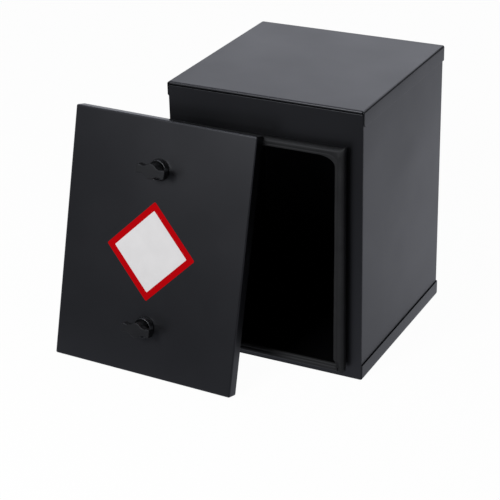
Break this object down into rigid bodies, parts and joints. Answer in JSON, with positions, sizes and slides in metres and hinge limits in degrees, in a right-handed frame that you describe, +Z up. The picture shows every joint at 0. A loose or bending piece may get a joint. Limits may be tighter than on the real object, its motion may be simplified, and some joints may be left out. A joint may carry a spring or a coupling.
{
  "type": "gas cylinder cabinet",
  "caption": "Sheet steel locker for a gas cylinder: a box with a rubber-sealed collar round its front opening, and a lift-off door pan with wing-knob cam latches that leans on it.",
  "frame": {"origin": "centre of the cabinet's underside", "axes": "+Z up, +Y towards the back, +X to the right seen from the front; the opening and the door are on the -Y side"},
  "size_m": [0.4422, 0.435, 0.41],
  "materials": {
    "powder_coat": "black satin powder coat, finely textured",
    "seal_rubber": "black rubber, dull",
    "latch_plastic": "black moulded plastic, satin",
    "zinc_steel": "zinc plated"
  },
  "bodies": {
    "cabinet": {"top_cover": "powder_coat", "front_panel": "powder_coat", "base_tray": "powder_coat", "body_wrap": "powder_coat", "opening_collar": "powder_coat", "collar_seal": "seal_rubber", "vent_grille": "zinc_steel", "vent_rivet_1": "zinc_steel", "vent_rivet_2": "zinc_steel", "vent_rivet_3": "zinc_steel", "vent_rivet_4": "zinc_steel", "hose_grommet": "seal_rubber"},
    "door": {"door_pan": "powder_coat", "upper_latch_gasket": "seal_rubber", "upper_latch_housing": "latch_plastic", "upper_latch_nut": "latch_plastic", "lower_latch_gasket": "seal_rubber", "lower_latch_housing": "latch_plastic", "lower_latch_nut": "latch_plastic"},
    "upper_knob": {"upper_wing_knob": "latch_plastic", "upper_cam": "zinc_steel", "upper_cam_washer": "zinc_steel", "upper_cam_screw": "zinc_steel"},
    "lower_knob": {"lower_wing_knob": "latch_plastic", "lower_cam": "zinc_steel", "lower_cam_washer": "zinc_steel", "lower_cam_screw": "zinc_steel"}
  },
  "joints": [
    {"name": "door_lift", "type": "slide", "parent": "cabinet", "child": "door", "axis": [0, 0, 1], "range_m": [0, 0.45]},
    {"name": "upper_latch", "type": "hinge", "parent": "door", "child": "upper_knob", "pos_m": [-0.14153, -0.19676, 0.29518], "axis": [0.035, 0.9643, -0.2624], "range_deg": [-5, 85]},
    {"name": "lower_latch", "type": "hinge", "parent": "door", "child": "lower_knob", "pos_m": [-0.14372, -0.25707, 0.07323], "axis": [-0.035, -0.9643, 0.2624], "range_deg": [0, 92]}
  ]
}
